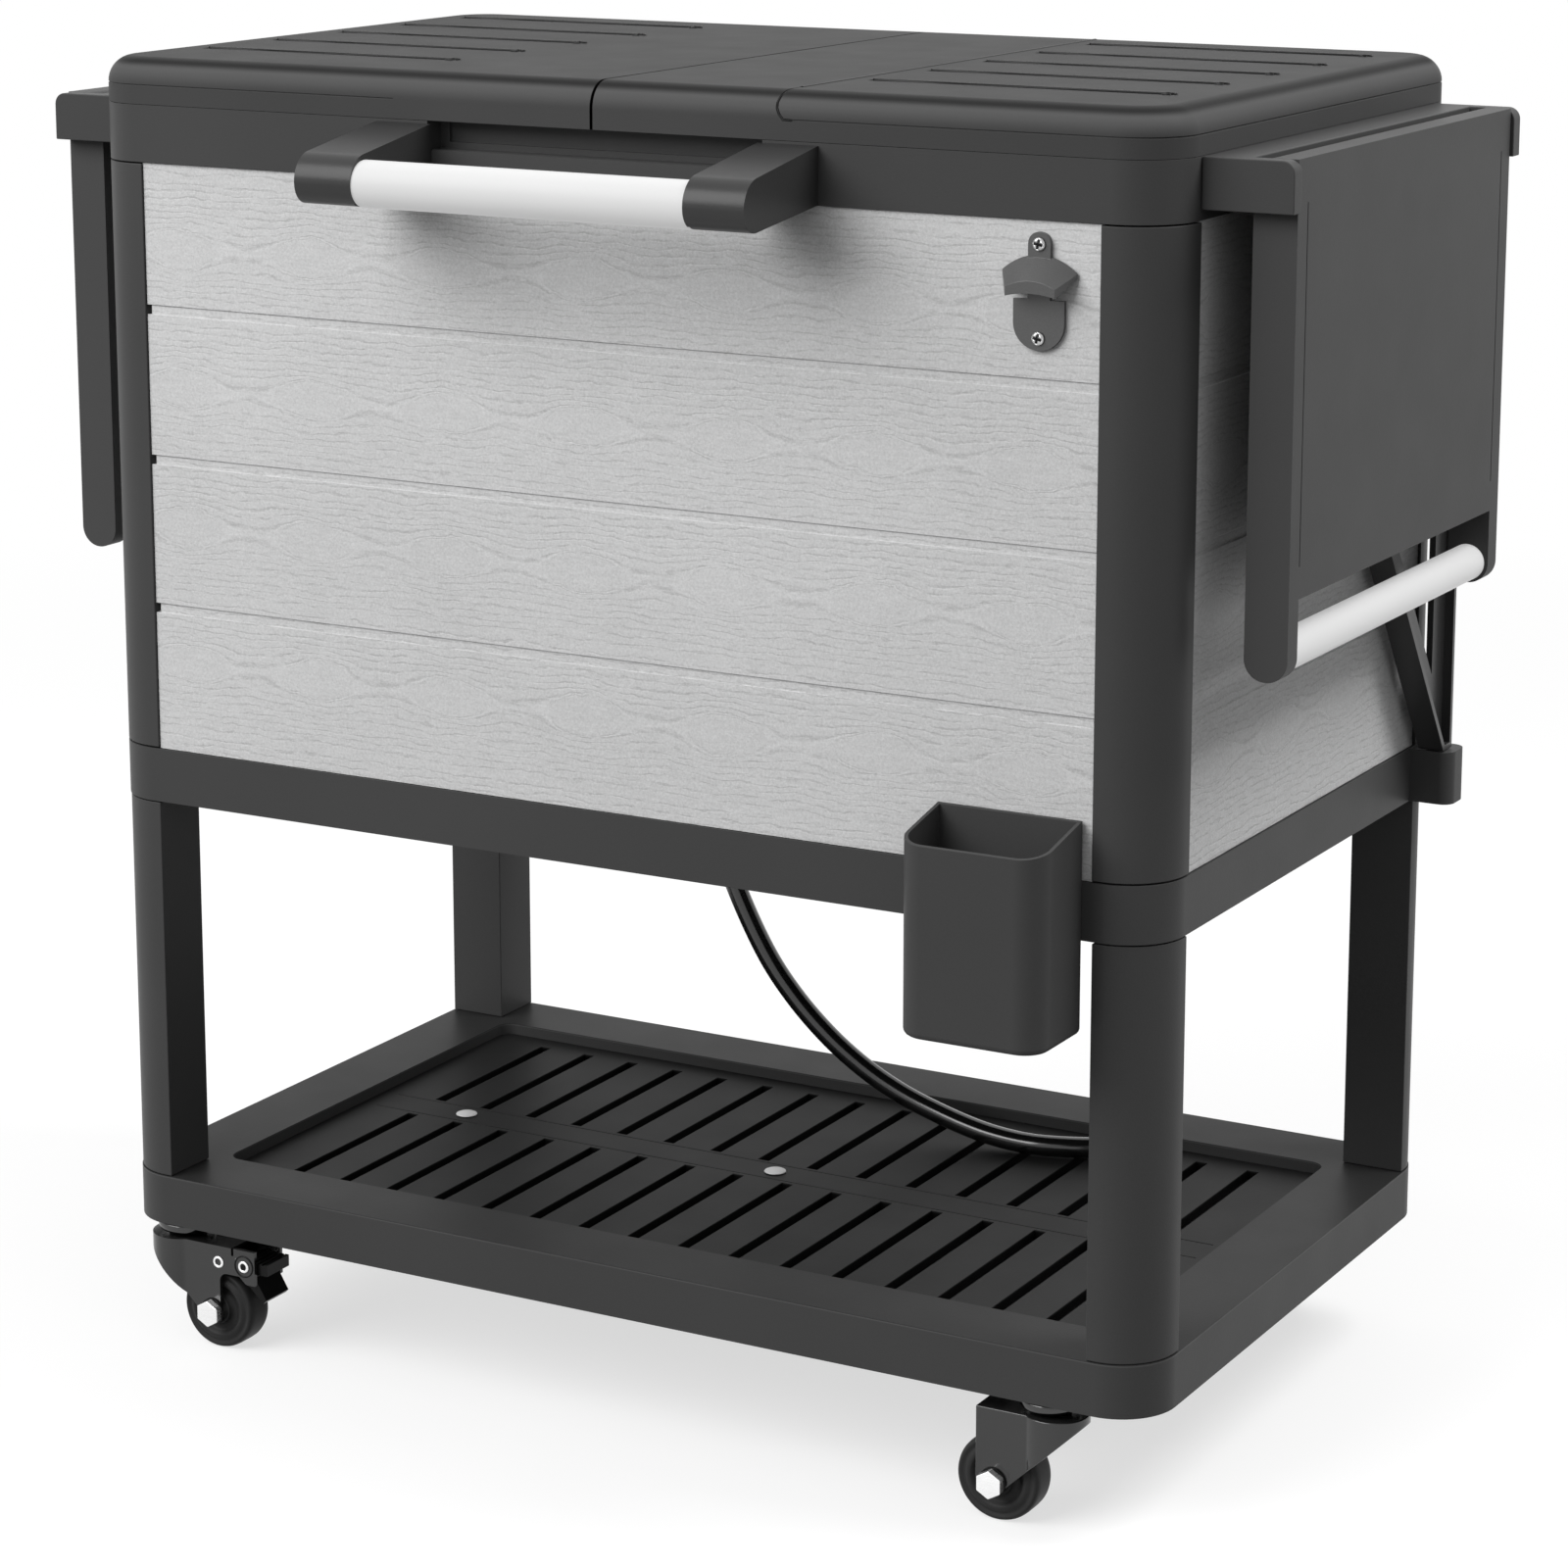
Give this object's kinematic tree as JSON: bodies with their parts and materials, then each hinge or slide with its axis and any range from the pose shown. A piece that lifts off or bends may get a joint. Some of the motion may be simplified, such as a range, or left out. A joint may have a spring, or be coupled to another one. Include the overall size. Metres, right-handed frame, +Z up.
{
  "type": "rolling patio cooler",
  "caption": "Insulated cooler box on a wheeled frame with a slatted shelf, two lids, folding side tables, a front handle, a bottle opener, a catch bin and a drain hose.",
  "frame": {"origin": "on the floor, under the middle of the cooler's bounding box", "axes": "+X to the viewer's right along the cooler's width, -Y towards the front with the handle, +Z up"},
  "size_m": [0.821, 0.5196, 0.813],
  "materials": {
    "charcoal_plastic": "satin moulded plastic",
    "lid_plastic": "satin moulded plastic",
    "table_plastic": "satin moulded plastic",
    "shelf_plastic": "satin moulded plastic",
    "wood_look_panel": "embossed wood grain",
    "white_bar": "smooth",
    "liner_plastic": "smooth",
    "foam": "closed-cell foam",
    "drain_plastic": "smooth",
    "hose_rubber": "glossy",
    "caster_steel": "glossy black coating",
    "wheel_polymer": "satin",
    "bright_steel": "zinc bright",
    "bright_screws": "bright",
    "opener_metal": "powder coated casting"
  },
  "bodies": {
    "cabinet": {"base_tray": "charcoal_plastic", "mid_band": "charcoal_plastic", "rim": "charcoal_plastic", "handle_arm_left": "charcoal_plastic", "handle_arm_right": "charcoal_plastic", "table_bracket_left": "charcoal_plastic", "table_bracket_right": "charcoal_plastic", "gate_left": "charcoal_plastic", "gate_right": "charcoal_plastic", "leg_front_left": "charcoal_plastic", "corner_post_front_left": "charcoal_plastic", "leg_front_right": "charcoal_plastic", "corner_post_front_right": "charcoal_plastic", "leg_back_left": "charcoal_plastic", "corner_post_back_left": "charcoal_plastic", "leg_back_right": "charcoal_plastic", "corner_post_back_right": "charcoal_plastic", "handle_bar": "white_bar", "shelf_grate": "shelf_plastic", "shelf_screw_left": "bright_screws", "shelf_screw_middle": "bright_screws", "shelf_screw_right": "bright_screws", "panel_front": "wood_look_panel", "panel_back": "wood_look_panel", "panel_left": "wood_look_panel", "panel_right": "wood_look_panel", "insulation_foam": "foam", "liner": "liner_plastic", "bottle_opener": "opener_metal", "opener_screw_upper": "bright_screws", "opener_screw_lower": "bright_screws", "drain_fitting": "drain_plastic", "drain_hose": "hose_rubber", "caster_head_front_left": "caster_steel", "caster_head_front_right": "caster_steel", "caster_head_back_left": "caster_steel", "caster_head_back_right": "caster_steel"},
    "lid_left": {"lid_left": "lid_plastic", "lid_liner_left": "liner_plastic"},
    "table_left": {"side_table_left": "table_plastic", "table_bar_left": "white_bar"},
    "lid_right": {"lid_right": "lid_plastic", "lid_liner_right": "liner_plastic"},
    "table_right": {"side_table_right": "table_plastic", "table_bar_right": "white_bar"},
    "bin": {"catch_bin": "charcoal_plastic"},
    "caster_front_left": {"caster_fork_front_left": "caster_steel", "axle_bolt_front_left": "bright_steel"},
    "wheel_front_left": {"wheel_front_left": "wheel_polymer"},
    "caster_front_right": {"caster_fork_front_right": "caster_steel", "axle_bolt_front_right": "bright_steel"},
    "wheel_front_right": {"wheel_front_right": "wheel_polymer"},
    "caster_back_left": {"caster_fork_back_left": "caster_steel", "axle_bolt_back_left": "bright_steel"},
    "wheel_back_left": {"wheel_back_left": "wheel_polymer"},
    "caster_back_right": {"caster_fork_back_right": "caster_steel", "axle_bolt_back_right": "bright_steel"},
    "wheel_back_right": {"wheel_back_right": "wheel_polymer"},
    "pedal_front_left": {"brake_pedal_front_left": "caster_steel"},
    "pedal_back_left": {"brake_pedal_back_left": "caster_steel"}
  },
  "joints": [
    {"name": "lid_left_hinge", "type": "hinge", "parent": "cabinet", "child": "lid_left", "pos_m": [-0.18, 0.25425, 0.7854], "axis": [-1, 0, 0], "range_deg": [0, 95]},
    {"name": "lid_right_hinge", "type": "hinge", "parent": "cabinet", "child": "lid_right", "pos_m": [0.18, 0.25425, 0.7854], "axis": [-1, 0, 0], "range_deg": [0, 95]},
    {"name": "table_left_fold", "type": "hinge", "parent": "cabinet", "child": "table_left", "pos_m": [-0.39555, 0.03525, 0.77265], "axis": [0, 1, 0], "range_deg": [0, 90]},
    {"name": "table_right_fold", "type": "hinge", "parent": "cabinet", "child": "table_right", "pos_m": [0.39555, 0.03525, 0.77265], "axis": [0, -1, 0], "range_deg": [0, 90]},
    {"name": "bin_lift", "type": "slide", "parent": "cabinet", "child": "bin", "axis": [0, 0, 1], "range_m": [0, 0.0135]},
    {"name": "swivel_front_left", "type": "hinge", "parent": "cabinet", "child": "caster_front_left", "pos_m": [-0.32, -0.15675, 0.0702], "axis": [0, 0, 1], "continuous": true},
    {"name": "roll_front_left", "type": "hinge", "parent": "caster_front_left", "child": "wheel_front_left", "pos_m": [-0.291, -0.15675, 0.026], "axis": [0, 1, 0], "continuous": true},
    {"name": "brake_front_left", "type": "hinge", "parent": "caster_front_left", "child": "pedal_front_left", "pos_m": [-0.2662, -0.15675, 0.0598], "axis": [0, 1, 0], "range_deg": [0, 27]},
    {"name": "swivel_front_right", "type": "hinge", "parent": "cabinet", "child": "caster_front_right", "pos_m": [0.287, -0.15675, 0.0702], "axis": [0, 0, 1], "continuous": true},
    {"name": "roll_front_right", "type": "hinge", "parent": "caster_front_right", "child": "wheel_front_right", "pos_m": [0.258, -0.15675, 0.026], "axis": [0, 1, 0], "continuous": true},
    {"name": "swivel_back_left", "type": "hinge", "parent": "cabinet", "child": "caster_back_left", "pos_m": [-0.32, 0.22725, 0.0702], "axis": [0, 0, 1], "continuous": true},
    {"name": "roll_back_left", "type": "hinge", "parent": "caster_back_left", "child": "wheel_back_left", "pos_m": [-0.291, 0.22725, 0.026], "axis": [0, 1, 0], "continuous": true},
    {"name": "brake_back_left", "type": "hinge", "parent": "caster_back_left", "child": "pedal_back_left", "pos_m": [-0.2662, 0.22725, 0.0598], "axis": [0, 1, 0], "range_deg": [0, 27]},
    {"name": "swivel_back_right", "type": "hinge", "parent": "cabinet", "child": "caster_back_right", "pos_m": [0.287, 0.22725, 0.0702], "axis": [0, 0, 1], "continuous": true},
    {"name": "roll_back_right", "type": "hinge", "parent": "caster_back_right", "child": "wheel_back_right", "pos_m": [0.258, 0.22725, 0.026], "axis": [0, 1, 0], "continuous": true}
  ]
}
